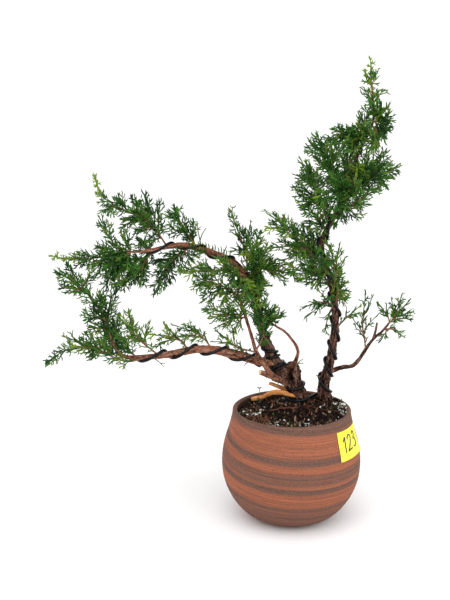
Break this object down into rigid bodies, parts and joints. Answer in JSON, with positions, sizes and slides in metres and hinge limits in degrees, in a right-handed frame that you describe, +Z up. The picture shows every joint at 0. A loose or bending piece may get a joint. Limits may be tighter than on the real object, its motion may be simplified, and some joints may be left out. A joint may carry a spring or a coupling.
{
  "type": "juniper bonsai in a pot",
  "caption": "Young windswept juniper bonsai with wired trunks and boughs and fine scale-leaf foliage, in a round marbled clay pot with a yellow label.",
  "frame": {"origin": "middle of the pot's flat underside", "axes": "+Z up; X along the spread of the tree, with the long boughs towards -X and the tall trunk leaning to +X; -Y is the side the tree is viewed from"},
  "size_m": [0.286, 0.1126, 0.365],
  "materials": {
    "marbled_clay": "matt unglazed marbled clay, red-brown with darker swirls",
    "soil": "loose potting grit and bark",
    "yellow_paper": "matt yellow adhesive label",
    "bark": "rough stringy bark",
    "peeled_root": "orange peeled root",
    "black_wire": "black coated soft training wire",
    "leafy_green": "mid green scale leaves",
    "deep_green": "deep green scale leaves",
    "fresh_green": "fresh yellow-green scale leaves"
  },
  "bodies": {
    "root": {"pot": "marbled_clay", "soil": "soil", "label": "yellow_paper", "left_trunk": "bark", "right_trunk": "bark", "upper_bough": "bark", "far_bough": "bark", "lower_bough": "bark", "right_bough": "bark", "base_branch": "bark", "pruned_stub": "bark", "curved_branch": "bark", "peeled_root": "peeled_root", "short_root": "peeled_root", "right_wire": "black_wire", "upper_wire": "black_wire", "far_wire": "black_wire", "lower_wire": "black_wire", "crown_tip": "leafy_green", "crown_top_right": "deep_green", "crown_top_left": "fresh_green", "crown_left_upper": "leafy_green", "crown_right_upper": "deep_green", "crown_left_middle": "leafy_green", "crown_right_middle": "deep_green", "crown_left_lower": "fresh_green", "crown_front": "leafy_green", "crown_back": "deep_green", "inner_upper": "leafy_green", "inner_front": "deep_green", "inner_back": "fresh_green", "trunk_right_upper": "leafy_green", "trunk_right_lower": "deep_green", "trunk_left": "leafy_green", "trunk_back": "deep_green", "trunk_shoot": "fresh_green", "right_rise": "leafy_green", "right_tip": "deep_green", "right_low": "leafy_green", "centre_tall": "deep_green", "centre_top": "fresh_green", "centre_right": "leafy_green", "centre_left_long": "deep_green", "centre_left_low": "leafy_green", "centre_right_low": "deep_green", "centre_back": "fresh_green", "centre_front": "leafy_green", "low_shoots": "deep_green", "bough_spray": "leafy_green", "bough_droop": "deep_green", "left_top": "fresh_green", "left_out": "leafy_green", "left_back": "deep_green", "low_column": "leafy_green", "low_tip": "deep_green", "low_back": "fresh_green", "low_fan": "leafy_green", "low_rise_left": "deep_green", "low_rise_right": "leafy_green"}
  },
  "joints": []
}
